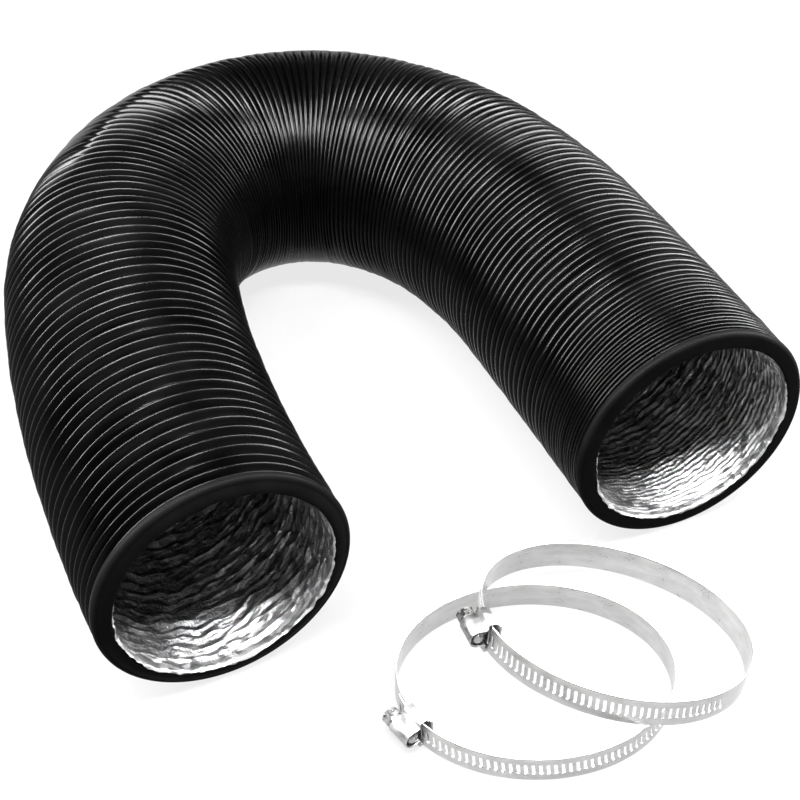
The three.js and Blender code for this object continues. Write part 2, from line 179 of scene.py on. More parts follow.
random = np.random.default_rng(7)
ridge_shift = random.normal(0, SHIFT, (3, TURNS + 1))
ridge_shift[:, [0, -1]] = 0
ridge_lift = random.uniform(0, RIDGE_DROP, TURNS + 1)
ridge_wave = random.uniform(0, 2 * np.pi, (3, TURNS + 1))


def ramp(value, low, high):
    """A smooth step from 0 to 1 as a value goes from low to high."""
    share = np.clip((value - low) / (high - low), 0, 1)
    return share**2 * (3 - 2 * share)


def between(values, turn):
    """A value that each ridge has, carried over in a straight line from one ridge to the next."""
    lower = np.clip(np.floor(turn).astype(int), 0, TURNS - 1)
    share = turn - lower
    return values[..., lower] * (1 - share) + values[..., lower + 1] * share


def ridge_lean(distance, angle):
    """How far back along the duct the ridges stand at an angle. At the cuffs they stand square."""
    from_end = np.minimum(distance - CUFF_LENGTH, DUCT_LENGTH - CUFF_LENGTH - distance)
    return LEAN * np.cos(angle) * ramp(from_end, 0, LEAN_EASE)


def along_turns(turn, angle):
    """Distance along the duct at a count of turns: the even count, plus each ridge's own shift and
    its own small lean either way, plus the lean that all ridges share."""
    shift = between(ridge_shift, turn)
    own = shift[0] + OWN_LEAN * shift[1] * np.cos(angle) + OWN_LEAN * shift[2] * np.sin(angle)
    distance = np.interp(np.clip(turn + own, 0, TURNS), fine_turns, fine_places)
    return distance - ridge_lean(distance, angle)


DEEPEST = 5.2 * MM
STEEPNESS = 1.2  # depth of a valley for the room from ridge to ridge, where that is small
RIDGE_ROUNDING = 0.85 * MM  # half the width of a ridge, where it is still round
RIDGE_SHARE = 0.13  # and never more of the pitch than this
FLAT_LEFT = 0.05  # share of a valley's depth that is left where the bend flattens it
OUTSIDE = 0.25, 0.45  # cosines of the angles where that begins, and where it is full
UNDERSIDE = 0.2, 0.6  # the same for the underside, as sines
TIGHT = 0.43, 0.50  # and how far the duct bends in its own radius
FULL_FROM, FULL_TO = 230 * MM, 330 * MM  # where the ridges become full
FULL_LESS = 0.2  # share of their depth that full valleys lose
UNEVEN = 0.12  # of a valley's depth round the duct
WAVE = 0.12 * MM  # of a ridge's radius round the duct
FILM_IN = 0.4 * MM  # from the full radius to the film's ends
FREE_FROM = 0.05  # of a turn from an end to where the film is free
APART = 0.01  # of a turn, at least, from an end to the first station
SIDES = 128
STATIONS = np.array([-0.5, -0.38, -0.27, -0.18, -0.11, -0.05, 0, 0.05, 0.11, 0.18, 0.27, 0.38])


def film_radius(turn, angle, distance):
    """Radius of the film. At each whole turn it is the wire's, less that turn's own small amount and
    a slow wave round it. Between turns it falls in two straight slopes, round at the ridge and sharp
    in the valley; from the bend on the ridges are full and the valleys narrow and less deep. In the
    middle of the bend the valleys are shallow on the outside, where the film is drawn tight, and
    underneath, where it is pressed flat."""
    pitch = np.interp(distance, PITCH_PLACES, PITCHES)
    rate = np.interp(distance, BEND_PLACES, BEND_RATES)
    room = pitch * (1 + rate * DUCT_RADIUS * np.cos(angle))
    full = ramp(distance, FULL_FROM, FULL_TO)
    depth = DEEPEST * np.tanh(STEEPNESS * room / DEEPEST) * (1 - FULL_LESS * full)
    flat = np.maximum(ramp(np.cos(angle), *OUTSIDE), ramp(-np.sin(angle), *UNDERSIDE))
    depth *= 1 - (1 - FLAT_LEFT) * flat * ramp(rate * DUCT_RADIUS, *TIGHT)
    from_ridge = 2 * np.abs(turn - np.round(turn))
    rounding = np.minimum(RIDGE_ROUNDING, RIDGE_SHARE * pitch) / (room / 2)
    dip = np.sqrt(from_ridge**2 + rounding**2) - rounding
    dip /= np.sqrt(1 + rounding**2) - rounding
    dip += full * (from_ridge**3 - dip)
    wave = between(ridge_wave, turn)
    low = 1 + np.sin(2 * angle + wave[0]) + 0.7 * np.sin(5 * angle + wave[1])
    uneven = 1 + UNEVEN * np.sin(9 * angle + wave[2])
    ridge = between(ridge_lift, turn) + WAVE * np.maximum(low, 0)
    return DUCT_RADIUS - ridge - depth * uneven * dip


def film_piece(name, first, last):
    """One length of film, from a valley or an end to the next: each turn has the same stations, which
    stand closer together near the ridge. An end lies on the cuff, at nearly its full width."""
    turn = (np.arange(math.floor(first), math.ceil(last) + 1)[:, None] + STATIONS).reshape(-1)
    turn = np.concatenate([[first], turn[(turn > first + APART) & (turn < last - APART)], [last]])
    turn, angle = np.meshgrid(turn, angles_round(SIDES), indexing="ij")
    distance = along_turns(turn, angle)
    radius = film_radius(turn, angle, distance)
    to_end = np.minimum(turn, TURNS - turn)
    radius = np.where(to_end < FREE_FROM, DUCT_RADIUS - FILM_IN, radius)
    skin = np.stack([angle * DUCT_RADIUS, distance, turn], axis=-1)
    return grid_piece(name, on_duct(distance, angle, radius), {"skin": skin})


def seam_turn(distance):
    """The valley nearest to a distance, as a count of turns that ends in a half."""
    return math.floor(float(np.interp(distance, fine_places, fine_turns))) + 0.5


# Each length crosses one joint, between the two bodies that it names.
LENGTHS = [
    ("left_mouth", 0.0, seam_turn(140 * MM), "left_end", "left_leg", 45 * MM, 125 * MM),
    ("left_bend", seam_turn(140 * MM), seam_turn(350 * MM), "left_leg", "bend", 155 * MM, 245 * MM),
    ("right_bend", seam_turn(350 * MM), seam_turn(560 * MM), "bend", "right_leg", 455 * MM, 545 * MM),
    ("right_mouth", seam_turn(560 * MM), float(TURNS), "right_leg", "right_end", 575 * MM, 655 * MM),
]
ZONES = {
    "left_mouth": ["left_end", "left_stretch", "left_leg"],
    "left_bend": ["left_leg", "left_flex", "bend_1", "bend_2", "bend_3"],
    "right_bend": ["bend_3", "bend_4", "bend_5", "right_flex", "right_leg"],
    "right_mouth": ["right_leg", "right_stretch", "right_end"],
}


def lay_wall(make, name, material, layer):
    """Makes one layer of the wall in its four lengths, in place of the layer's stretches in the CAD
    model."""
    for length, first, last, body_a, body_b, start, end in LENGTHS:
        piece = make(f"{name}_{length}", first, last)
        piece.data.materials.append(material)
        route_point(start)
        route_point(end)
        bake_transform(piece)
        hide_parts(*[f"{layer}_{zone}" for zone in ZONES[length]])


def put(piece, material, body, node):
    """Gives a piece its material and slot. It rides on one body, in place of a node of the CAD."""
    piece.data.materials.clear()
    piece.data.materials.append(material)
    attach(piece, body)
    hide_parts(node)


class Nodes:
    """Shader nodes of a material or of the world. Every bump lies on the one before it."""

    def __init__(self, owner):
        owner.use_nodes = True
        self.owner, self.tree = owner, owner.node_tree
        self.where = self.add("ShaderNodeTexCoord").outputs
        self.place = self.where["Object"]
        self.lower = {}

    def fill(self, node, inputs):
        """Each input is joined to the output given for it, or set to the plain value."""
        for key, value in inputs.items():
            if isinstance(value, bpy.types.NodeSocket):
                self.tree.links.new(value, node.inputs[key])
            else:
                node.inputs[key].default_value = value

    def add(self, kind, inputs=None, **settings):
        node = self.tree.nodes.new(kind)
        for key, value in settings.items():
            setattr(node, key, value)
        self.fill(node, inputs or {})
        return node

    def surface(self, inputs):
        """Inputs of the Principled shader."""
        self.fill(self.tree.nodes["Principled BSDF"], inputs)

    def stretched(self, attribute, scale):
        """A vector that the points carry, stretched along its three directions."""
        vector = self.add("ShaderNodeAttribute", attribute_name=attribute).outputs["Vector"]
        return self.add("ShaderNodeMapping", {"Vector": vector, "Scale": scale}).outputs[0]

    def noise(self, vector, scale=1.0, detail=2.0, **others):
        inputs = {"Vector": vector, "Scale": scale, "Detail": detail, **others}
        return self.add("ShaderNodeTexNoise", inputs).outputs["Fac"]

    def math(self, operation, *values):
        return self.add("ShaderNodeMath", dict(enumerate(values)), operation=operation).outputs[0]

    def spread(self, value, low, high, to_low=0, to_high=1):
        """A value stretched from one span to another, and held at its ends."""
        inputs = {"Value": value, "From Min": low, "From Max": high, "To Min": to_low, "To Max": to_high}
        return self.add("ShaderNodeMapRange", inputs).outputs["Result"]

    def tones(self, share, dark, light):
        """A colour between a dark one and a light one."""
        inputs = {"Factor": share, "A": (*dark, 1), "B": (*light, 1)}
        return self.add("ShaderNodeMix", inputs, data_type="RGBA").outputs["Result"]

    def bump(self, height, strength, depth):
        inputs = {"Height": height, "Strength": strength, "Distance": depth, **self.lower}
        self.lower = {"Normal": self.add("ShaderNodeBump", inputs).outputs[0]}
        self.surface(self.lower)


def film_material():
    """Black film: fine creases that run over the ridges, a soft uneven gloss, and a trace of dust."""
    look = Nodes(bpy.data.materials.new("black_film"))
    cloud = look.noise(look.place, scale=28, detail=5)
    creases_at = look.stretched("skin", (420, 160, 0.35))
    look.bump(look.noise(look.place, scale=95, detail=3), strength=0.15, depth=0.6 * MM)
    look.bump(look.noise(creases_at, detail=4, Roughness=0.55, Distortion=0.6), 0.15, 0.4 * MM)
    look.bump(look.noise(look.place, scale=1500), strength=0.08, depth=0.1 * MM)
    black, dusty = (0.0001, 0.0001, 0.0001), (0.0004, 0.0004, 0.0004)
    look.surface({"Base Color": look.tones(look.spread(cloud, 0.4, 0.75), black, dusty),
                  "Roughness": look.spread(cloud, 0.3, 0.7, 0.23, 0.31), "Specular IOR Level": 0.05})
    return look.owner


lay_wall(film_piece, "film", film_material(), "outer_film")


# Spring wire: drawn steel wire under each ridge of the film, which holds the duct open. It lies hard
# against the inside of the film, hidden between film and foil.

WIRE_RADIUS = 0.55 * MM
WIRE_DEPTH = 1.5 * MM
WIRE_STEPS = 64
WIRE_SIDES = 6


def wire_piece(name, first, last):
    """The turns of wire in one length: at each whole turn, a small ring of points carried round the
    duct just under the ridge of the film."""
    whole = np.arange(math.ceil(first + 0.2), math.floor(last - 0.2) + 1).astype(float)
    section = np.arange(WIRE_SIDES) / WIRE_SIDES * 2 * np.pi
    turn, angle, section = np.meshgrid(whole, angles_round(WIRE_STEPS), section, indexing="ij")
    distance = along_turns(turn, angle)
    radius = film_radius(turn, angle, distance) - WIRE_DEPTH
    points = on_duct(distance + WIRE_RADIUS * np.sin(section), angle,
                     radius + WIRE_RADIUS * np.cos(section))
    index = np.arange(turn.size).reshape(turn.shape)
    quads = [index, np.roll(index, -1, 1), np.roll(index, (-1, -1), (1, 2)), np.roll(index, -1, 2)]
    mesh = bpy.data.meshes.new(name)
    mesh.from_pydata(points.reshape(-1, 3), [], np.stack(quads, axis=-1).reshape(-1, 4).tolist())
    mesh.shade_smooth()
    return placed(name, mesh)


def wire_material():
    """Drawn steel: grey metal with fine marks and a slightly uneven roughness."""
    look = Nodes(bpy.data.materials.new("spring_wire"))
    marks = look.noise(look.place, scale=900, detail=3)
    look.bump(marks, strength=0.2, depth=0.1 * MM)
    look.surface({"Base Color": (0.30, 0.31, 0.32, 1), "Metallic": 1,
                  "Roughness": look.spread(marks, 0.3, 0.7, 0.3, 0.5)})
    return look.owner


lay_wall(wire_piece, "wire", wire_material(), "spring_wire")


# Foil liner: bright aluminium foil laminate inside the wire. It was wound flat, and it crumples in
# rings between the turns of the wire as the duct is pressed together.

BORE_RADIUS = 50.5 * MM
FOIL_DEPTH = 2.2 * MM
FOIL_SIDES = 312
FOIL_STEP = 0.42 * MM
FOIL_STEP_DEEP = 2.2 * MM
FOIL_FINE_REACH = 115 * MM
BULGES = {"left": 1.6 * MM, "right": 0.3 * MM}  # of the cuffs' faces
LAP = 0.15 * MM  # from a cuff's face to the foil that laps over it
LIP_REACH = 0.3 * MM  # how fast the foil draws in behind the lip
LIP_WIDTH = 1.7 * MM
CREST_HEIGHT = 0.45 * MM  # of the sharp fold along each crest
CREST_WIDTH = 0.3 * MM
TUCK = 1.3 * MM  # of the foil behind the cuff's edge at the top
PLATE_WIDTH = 7 * MM
PLATES_ROUND = int(2 * np.pi * BORE_RADIUS / PLATE_WIDTH)
FINE_FROM, FINE_TO = 250 * MM, 450 * MM  # where the plates become as small as at the right mouth
SMALL_SHARE = 0.24  # of the smallest plates in the height
FULL_PITCH = 6.5 * MM  # of the wire, where the foil is at its deepest
WANDER = 0.3  # of a crest along the duct, in rows
JUMP = 1.5  # of a crest from plate to plate, in rows
HELD_FROM, HELD_TO = 1.5 * MM, 6 * MM  # distances from the lip between which the foil comes free
HELD_IN = 0.6 * MM
HELD_CRUMPLE = 0.8 * MM
HELD_BACK = 1.5 * MM  # at the top

ring_phase = random.uniform(0, 2 * np.pi, (6, 2))
small_heights = random.uniform(0, 1, (6 * TURNS, 4 * PLATES_ROUND))


def corner_heights(columns):
    """Heights at the corners of the plates: even rows are crests, odd rows are valleys."""
    heights = random.uniform(0, 0.6, (2 * TURNS, columns))
    heights[1::2] += 0.4
    return heights


wide_corners = corner_heights(PLATES_ROUND)
fine_corners = corner_heights(2 * PLATES_ROUND)


def plates(row, column, heights):
    """Height of creased plates: a net of three-sided plates, each flat between the heights of its
    three corners, so that the folds between them are sharp."""
    lower_row, lower_column = np.floor(row).astype(int), np.floor(column).astype(int)
    up, over = row - lower_row, column - lower_column
    rows, columns = heights.shape

    def corner(row_step, column_step):
        return heights[(lower_row + row_step) % rows, (lower_column + column_step) % columns]

    near = corner(0, 0) + (corner(1, 0) - corner(0, 0)) * up + (corner(0, 1) - corner(0, 0)) * over
    far = (corner(1, 1) + (corner(0, 1) - corner(1, 1)) * (1 - up)
           + (corner(1, 0) - corner(1, 1)) * (1 - over))
    return np.where(up + over < 1, near, far)


def foil_radius(distance, angle, turn, from_lip, top):
    """Radius of the foil. Sharp crests in step with the wire stand in to the bore, pushed to and fro
    along it, and plates fall from them to the valleys: wide plates at the left mouth and small ones
    at the right, each broken a little. At a mouth the foil is held in close, crumpled, and turned
    over the cuff's edge in a ragged lip, but at the top it is tucked in behind the edge."""
    broken = np.zeros_like(distance)
    for order, (phase_a, phase_b) in enumerate(ring_phase, start=2):
        broken += np.sin(order * angle + phase_a + 40 * distance * np.cos(order + phase_b)) / order
    column = angle * PLATES_ROUND / (2 * np.pi)
    fine = ramp(distance, FINE_FROM, FINE_TO)
    row = 2 * turn + WANDER * broken + JUMP * plates(turn, (1 + fine) * column, small_heights)
    plate = ((1 - fine) * plates(row, column, wide_corners)
             + fine * plates(row, 2 * column, fine_corners))
    small = plates(6 * turn + broken, 3 * column, small_heights)
    pitch = np.interp(distance, PITCH_PLACES, PITCHES)
    mixed = (1 - SMALL_SHARE) * plate + SMALL_SHARE * small
    free = BORE_RADIUS + 0.2 * MM + FOIL_DEPTH * np.clip(pitch / FULL_PITCH, 0.5, 1) * mixed
    from_crest = (row / 2 - np.round(row / 2)) * pitch
    uneven = 0.3 + 0.7 * plates(turn, 3 * column, small_heights)
    free -= CREST_HEIGHT * uneven * np.exp(-((from_crest / CREST_WIDTH) ** 2))
    crumple = plates(5 * turn, 4 * column, small_heights)
    held = BORE_RADIUS - HELD_IN + HELD_CRUMPLE * crumple + HELD_BACK * top
    radius = held + (free - held) * ramp(from_lip, HELD_FROM, HELD_TO)
    ragged = 0.15 + 0.15 * np.sin(7 * angle + 1) + 0.7 * plates(turn, 2 * column, small_heights)
    return radius + LIP_WIDTH * (1 - top) * ragged * np.exp(-((from_lip / LIP_REACH) ** 2))


def foil_piece(name, first, last):
    """One length of foil, facing inwards. Its rows are close together near the mouths, where it is
    seen, and further apart deep inside. At a mouth it laps over the cuff's edge."""
    start, end = np.interp([first, last], fine_turns, fine_places)
    if first == 0:
        start = -BULGES["left"] - LAP
    if last == TURNS:
        end = DUCT_LENGTH + BULGES["right"] + LAP
    deep_a, deep_b = FOIL_FINE_REACH, DUCT_LENGTH - FOIL_FINE_REACH
    rows = [start]
    while rows[-1] < end - FOIL_STEP / 2:
        step = FOIL_STEP_DEEP if deep_a < rows[-1] < deep_b else FOIL_STEP
        rows.append(min(rows[-1] + step, end))
    distance, angle = np.meshgrid(np.array(rows), angles_round(FOIL_SIDES), indexing="ij")
    turn = np.interp(distance, fine_places, fine_turns)
    from_lip = np.minimum(distance + BULGES["left"], DUCT_LENGTH + BULGES["right"] - distance) + LAP
    top = ramp(np.sin(angle), -0.2, 0.6)
    inwards = np.where(distance < DUCT_LENGTH / 2, 1, -1)
    tucked = TUCK * top * inwards * np.exp(-((from_lip / TUCK) ** 2))
    radius = foil_radius(distance, angle, turn, from_lip, top)
    points = on_duct(distance - ridge_lean(distance, angle) + tucked, angle, radius)[:, ::-1]
    skin = np.stack([angle * BORE_RADIUS, distance, turn], axis=-1)[:, ::-1]
    return grid_piece(name, points, {"skin": skin})


def foil_material():
    """Aluminium foil: bright metal, with small plates and sharp creases finer than the mesh, and a
    roughness that differs from plate to plate."""
    look = Nodes(bpy.data.materials.new("crumpled_foil"))
    warp = look.add("ShaderNodeTexNoise", {"Vector": look.place, "Scale": 120.0, "Detail": 2.0})
    moved = look.add("ShaderNodeVectorMath", {0: warp.outputs["Color"], 1: (6 * MM, 6 * MM, 6 * MM)},
                     operation="MULTIPLY").outputs[0]
    bent = look.add("ShaderNodeVectorMath", {0: look.place, 1: moved}, operation="ADD").outputs[0]
    cells = look.add("ShaderNodeTexVoronoi", {"Vector": bent, "Scale": 330.0}).outputs["Color"]
    for scale, depth in ((330, 1.0 * MM), (900, 0.4 * MM)):
        middle = look.math("SUBTRACT", look.noise(bent, scale, detail=1.5), 0.5)
        look.bump(look.math("ABSOLUTE", middle), strength=0.8, depth=depth)
    tone = look.add("ShaderNodeSeparateColor", {"Color": cells}).outputs[0]
    look.surface({"Base Color": look.tones(tone, (0.24, 0.24, 0.245), (0.45, 0.45, 0.455)),
                  "Roughness": look.spread(tone, 0, 1, 0.34, 0.52), "Metallic": 1})
    return look.owner


lay_wall(foil_piece, "foil", foil_material(), "foil_liner")


# End cuffs: at each mouth the black film is folded over into a smooth flat ring, with a soft outer
# shoulder, that closes the wall. The left one bulges a little.

CUFF_SIDES = 160
CUFF_SHOULDER = 2.6 * MM
CUFF_EDGE = 0.7 * MM
CUFF_BORE = BORE_RADIUS + 1 * MM
CUFF_TAIL = 0.6 * MM  # of the cuff under the film


def cuff_piece(name, mouth, outwards, bulge):
    """A ring turned round the mouth: from the film, over the round shoulder, across the face and back
    into the bore. The face stands out by the bulge at its inner edge."""
    quarter = np.linspace(0, np.pi / 2, 9)
    shoulder_out = CUFF_LENGTH - CUFF_SHOULDER * (1 - np.sin(quarter))
    shoulder_radius = DUCT_RADIUS - 0.1 * MM - CUFF_SHOULDER * (1 - np.cos(quarter))
    across = np.linspace(0, 1, 10)[1:-1]
    face_radius = shoulder_radius[-1] + (CUFF_BORE + CUFF_EDGE - shoulder_radius[-1]) * across
    face_out = CUFF_LENGTH + bulge * np.sin(across * np.pi / 2)
    lip_out = CUFF_LENGTH + bulge - CUFF_EDGE * (1 - np.cos(quarter))
    lip_radius = CUFF_BORE + CUFF_EDGE * (1 - np.sin(quarter))
    out = np.concatenate([[-CUFF_TAIL], shoulder_out, face_out, lip_out, lip_out[-1:] - 1 * MM])
    radius = np.concatenate([[DUCT_RADIUS - 0.5 * MM], shoulder_radius, face_radius, lip_radius,
                             [CUFF_BORE]])
    out, angle = np.meshgrid(out, angles_round(CUFF_SIDES), indexing="ij")
    radius = np.broadcast_to(radius[:, None], out.shape)
    uneven = 1 + 0.10 * np.sin(2 * angle + 1.3) + 0.06 * np.sin(5 * angle + 0.4)
    out = np.where(out > 0.5 * CUFF_LENGTH, CUFF_LENGTH + (out - CUFF_LENGTH) * uneven, out)
    points = on_duct(np.full_like(out, mouth) + outwards * (out - CUFF_LENGTH), angle, radius)
    return grid_piece(name, points[:, ::-1] if outwards < 0 else points, {})


def cuff_material():
    """Satin black film: a fine pebbled skin with soft cloudy marks from the fold."""
    look = Nodes(bpy.data.materials.new("satin_cuff"))
    cloud = look.noise(look.place, scale=60, detail=4)
    look.bump(cloud, strength=0.25, depth=0.8 * MM)
    look.bump(look.noise(look.place, scale=1400), strength=0.12, depth=0.1 * MM)
    black, cloudy = (0.0006, 0.0006, 0.0006), (0.0011, 0.0011, 0.0011)
    look.surface({"Base Color": look.tones(look.spread(cloud, 0.35, 0.7), black, cloudy),
                  "Roughness": look.spread(cloud, 0.3, 0.7, 0.50, 0.62), "Specular IOR Level": 0.012})
    return look.owner


satin_cuff = cuff_material()
for side_name, mouth, outwards in (("left", 0.0, -1), ("right", DUCT_LENGTH, 1)):
    ring = cuff_piece(f"cuff_{side_name}", mouth, outwards, BULGES[side_name])
    put(ring, satin_cuff, f"{side_name}_end", f"end_cuff_{side_name}")


# Clamp bands: rolled stainless strip on edge, bent to a slightly oval loop. One half is plain. The
# other has slanted slots for the worm, and slides over the plain half's end under the housing.

LOOP_LONG = 62 * MM
LOOP_SHORT = 49 * MM
BAND_WIDTH = 14.3 * MM
BAND_THICKNESS = 0.65 * MM
HOUSING_AT = math.radians(208)
SLOTTED_OFFSET = BAND_THICKNESS + 0.5 * MM
TAIL_LENGTH = 13 * MM
SLOT_PITCH = 3.175 * MM
SLOT_COUNT = 42
SLOT_WIDTH = 1.45 * MM
SLOT_HEIGHT = 6.3 * MM
SLOT_SLANT = math.radians(8)
FIRST_SLOT = 2.5 * MM
CLAMPS = {
    "clamp_1": {"at": (66 * MM, -171 * MM, 0.92 * MM), "spin": 4, "lean_axis": 137, "lean": 0.93},
    "clamp_2": {"at": (101 * MM, -153 * MM, 11.3 * MM), "spin": -14, "lean_axis": 130, "lean": 11.5},
}


def loop_point(angle, offset):
    """The oval's point at an angle, moved outwards by an offset."""
    out_x = LOOP_SHORT * np.cos(angle)
    out_y = LOOP_LONG * np.sin(angle)
    size = np.hypot(out_x, out_y)
    x = LOOP_LONG * np.cos(angle) + offset * out_x / size
    y = LOOP_SHORT * np.sin(angle) + offset * out_y / size
    return np.stack([x, y], axis=-1)


fine_angles = np.linspace(0, 2 * np.pi, 7201)
loop_speed = np.hypot(LOOP_LONG * np.sin(fine_angles), LOOP_SHORT * np.cos(fine_angles))
loop_steps = np.diff(fine_angles) * (loop_speed[1:] + loop_speed[:-1]) / 2
loop_lengths = np.concatenate([[0], np.cumsum(loop_steps)])
LOOP_LENGTH = loop_lengths[-1]


def loop_angle(length):
    """The oval's angle at a length of strip from its angle 0, over as many laps as there are."""
    laps = np.floor(length / LOOP_LENGTH)
    return 2 * np.pi * laps + np.interp(length - laps * LOOP_LENGTH, loop_lengths, fine_angles)


housing_length_at = float(np.interp(HOUSING_AT, fine_angles, loop_lengths))
off_oval = np.array([LOOP_SHORT * math.cos(HOUSING_AT), LOOP_LONG * math.sin(HOUSING_AT), 0])
OUTWARD = off_oval / math.hypot(off_oval[0], off_oval[1])
UPWARD = np.array([0, 0, 1.0])
ALONG = np.cross(OUTWARD, UPWARD)
HOUSING_POINT = np.append(loop_point(np.array(HOUSING_AT), 0.0), 0.0)

# The fold lies straight across the oval from the housing.
across = 2 * (HOUSING_POINT[0] * OUTWARD[0] / LOOP_LONG**2
              + HOUSING_POINT[1] * OUTWARD[1] / LOOP_SHORT**2)
across /= (OUTWARD[0] / LOOP_LONG) ** 2 + (OUTWARD[1] / LOOP_SHORT) ** 2
far_point = HOUSING_POINT - across * OUTWARD
FOLD_ANGLE = math.atan2(far_point[1] / LOOP_SHORT, far_point[0] / LOOP_LONG)
fold_length_at = float(np.interp(FOLD_ANGLE, fine_angles, loop_lengths))


def rotated(x, y, angle):
    """Points of a plane, turned about its middle."""
    return x * math.cos(angle) - y * math.sin(angle), x * math.sin(angle) + y * math.cos(angle)


def placed_clamp(points, clamp):
    """Points of a clamp, spun about its own upright axis, then leaned about a level axis, then moved
    to its place."""
    spin, lean, bearing = (math.radians(clamp[key]) for key in ("spin", "lean", "lean_axis"))
    axis = np.array([math.cos(bearing), math.sin(bearing), 0])
    spun = np.stack([*rotated(points[..., 0], points[..., 1], spin), points[..., 2]], axis=-1)
    along_axis = (spun @ axis)[..., None] * axis
    leaned = (along_axis + (spun - along_axis) * math.cos(lean)
              + np.cross(axis, spun) * math.sin(lean))
    return leaned + np.array(clamp["at"])


def at_housing(along, outward, up):
    """Points in the clamp from their places at the housing: along the screw towards its head,
    outwards from the oval, and up from the band's lower edge."""
    return (HOUSING_POINT + along[..., None] * ALONG + outward[..., None] * OUTWARD
            + up[..., None] * UPWARD)


def closed_piece(name, points, faces, sharp=40, values=None):
    """A solid from points and faces. Points that fall together are joined, every face is turned
    outwards, and edges past the sharp angle, in degrees, stay crisp."""
    mesh = bpy.data.meshes.new(name)
    mesh.from_pydata(points.reshape(-1, 3).tolist(), [], faces)
    give_values(mesh, values or {})
    solid = bmesh.new()
    solid.from_mesh(mesh)
    bmesh.ops.remove_doubles(solid, verts=solid.verts, dist=0.0005 * MM)
    bmesh.ops.recalc_face_normals(solid, faces=solid.faces)
    solid.to_mesh(mesh)
    solid.free()
    mesh.shade_smooth()
    mesh.set_sharp_from_angle(angle=math.radians(sharp))
    return placed(name, mesh)


RIM = 0.3 * MM
CELL_ACROSS = np.array([-1, -0.5, 0, 0.5, 1])
CELL_LEVELS = 8
SLOT_END_X = np.array([-1, -0.55 / 0.85, 0, 0.55 / 0.85, 1])
SLOT_END_DROP = np.array([0.30, 0.06, 0, 0.06, 0.30]) * MM
PLAIN_STEP = 1.2 * MM


def slot_cell():
    """One slot's share of the strip, along and up from the slot's middle: a loop of points round the
    share's four sides, and as many round the slot, a slanted oblong with rounded corners."""
    level = np.linspace(-1, 1, CELL_LEVELS + 1)

    def oblong(across, width, foot):
        bottom = np.stack([across * width / 2, -foot], axis=-1)
        side = np.stack([np.full(level.size, width / 2), level * foot[0]], axis=-1)
        return np.concatenate([bottom[:-1], side[:-1], -bottom[:-1], -side[:-1]])

    half_height = np.full(CELL_ACROSS.size, BAND_WIDTH / 2 - RIM)
    inner = oblong(SLOT_END_X, SLOT_WIDTH, SLOT_HEIGHT / 2 - SLOT_END_DROP)
    slanted = np.stack(rotated(inner[:, 0], inner[:, 1], SLOT_SLANT), axis=-1)
    return oblong(CELL_ACROSS, SLOT_PITCH, half_height), slanted


def strip_piece(name, clamp, start, end, offset_at, slots):
    """A strip with round edges, on edge along the oval from one length to another. Both of its faces
    are flat sheets of (length, height) points, with a ring of faces round each slot; the slots'
    walls, the half-round rims and the two ends close them."""
    middle = BAND_WIDTH / 2
    levels = np.linspace(RIM, BAND_WIDTH - RIM, CELL_LEVELS + 1)
    outer, inner = slot_cell()
    ring = len(outer)
    centres = start + FIRST_SLOT + SLOT_PITCH * np.arange(slots)
    plain_from = start
    stops = [start]
    if slots:
        stops.append(centres[0] - SLOT_PITCH / 2)
        plain_from = centres[-1] + SLOT_PITCH / 2
    count = int((end - plain_from) / PLAIN_STEP)
    plain_stops = np.linspace(plain_from, end, count + 1)
    flats, faces, walls, total = [], [], [], 0
    for columns in (stops, plain_stops):
        if len(columns) > 1:
            sheet = np.stack(np.meshgrid(columns, levels, indexing="ij"), axis=-1)
            index = total + np.arange(sheet[..., 0].size).reshape(sheet.shape[:2])
            flats.append(sheet.reshape(-1, 2))
            faces += grid_faces(index, closed=False).tolist()
            total += index.size
    for centre in centres:
        flats.append(np.concatenate([outer, inner]) + (centre, middle))
        index = total + np.arange(2 * ring).reshape(2, ring)
        faces += grid_faces(index, closed=True).tolist()
        walls.append(index[1])
        total += 2 * ring
    flat = np.concatenate(flats)
    half = BAND_THICKNESS / 2
    lengths = [flat[:, 0], flat[:, 0]]
    heights = [flat[:, 1], flat[:, 1]]
    depths = [np.full(total, half), np.full(total, -half)]
    faces += [[total + corner for corner in face] for face in faces]
    for loop in walls:
        faces += grid_faces(np.stack([loop, loop + total]), closed=True).tolist()
    base = 2 * total
    edge_stops = np.unique(np.round(np.concatenate(
        [stops, plain_stops] + [centre + CELL_ACROSS * SLOT_PITCH / 2 for centre in centres]), 9))
    around = np.linspace(0, np.pi, 7)
    for foot, down in ((RIM, -1), (BAND_WIDTH - RIM, 1)):
        along, turn = np.meshgrid(edge_stops, around, indexing="ij")
        lengths.append(along.reshape(-1))
        heights.append((foot + down * RIM * np.sin(turn)).reshape(-1))
        depths.append((half * np.cos(turn)).reshape(-1))
        rim = base + np.arange(along.size).reshape(along.shape)
        faces += grid_faces(rim, closed=False).tolist()
        base += along.size
    for stop in (start, end):
        loop_up = np.concatenate([RIM - RIM * np.sin(around[::-1]), levels[1:-1],
                                  BAND_WIDTH - RIM + RIM * np.sin(around), levels[-2:0:-1]])
        loop_depth = np.concatenate([half * np.cos(around[::-1]), np.full(CELL_LEVELS - 1, half),
                                     half * np.cos(around), np.full(CELL_LEVELS - 1, -half)])
        lengths.append(np.full(loop_up.size, stop))
        heights.append(loop_up)
        depths.append(loop_depth)
        faces.append(list(range(base, base + loop_up.size)))
        base += loop_up.size
    length, height, depth = (np.concatenate(part) for part in (lengths, heights, depths))
    at = loop_point(loop_angle(length), offset_at(length) + depth)
    points = placed_clamp(np.concatenate([at, height[:, None]], axis=-1), clamp)
    band = np.stack([length, height, depth], axis=-1)
    return closed_piece(name, points, faces, values={"band": band})


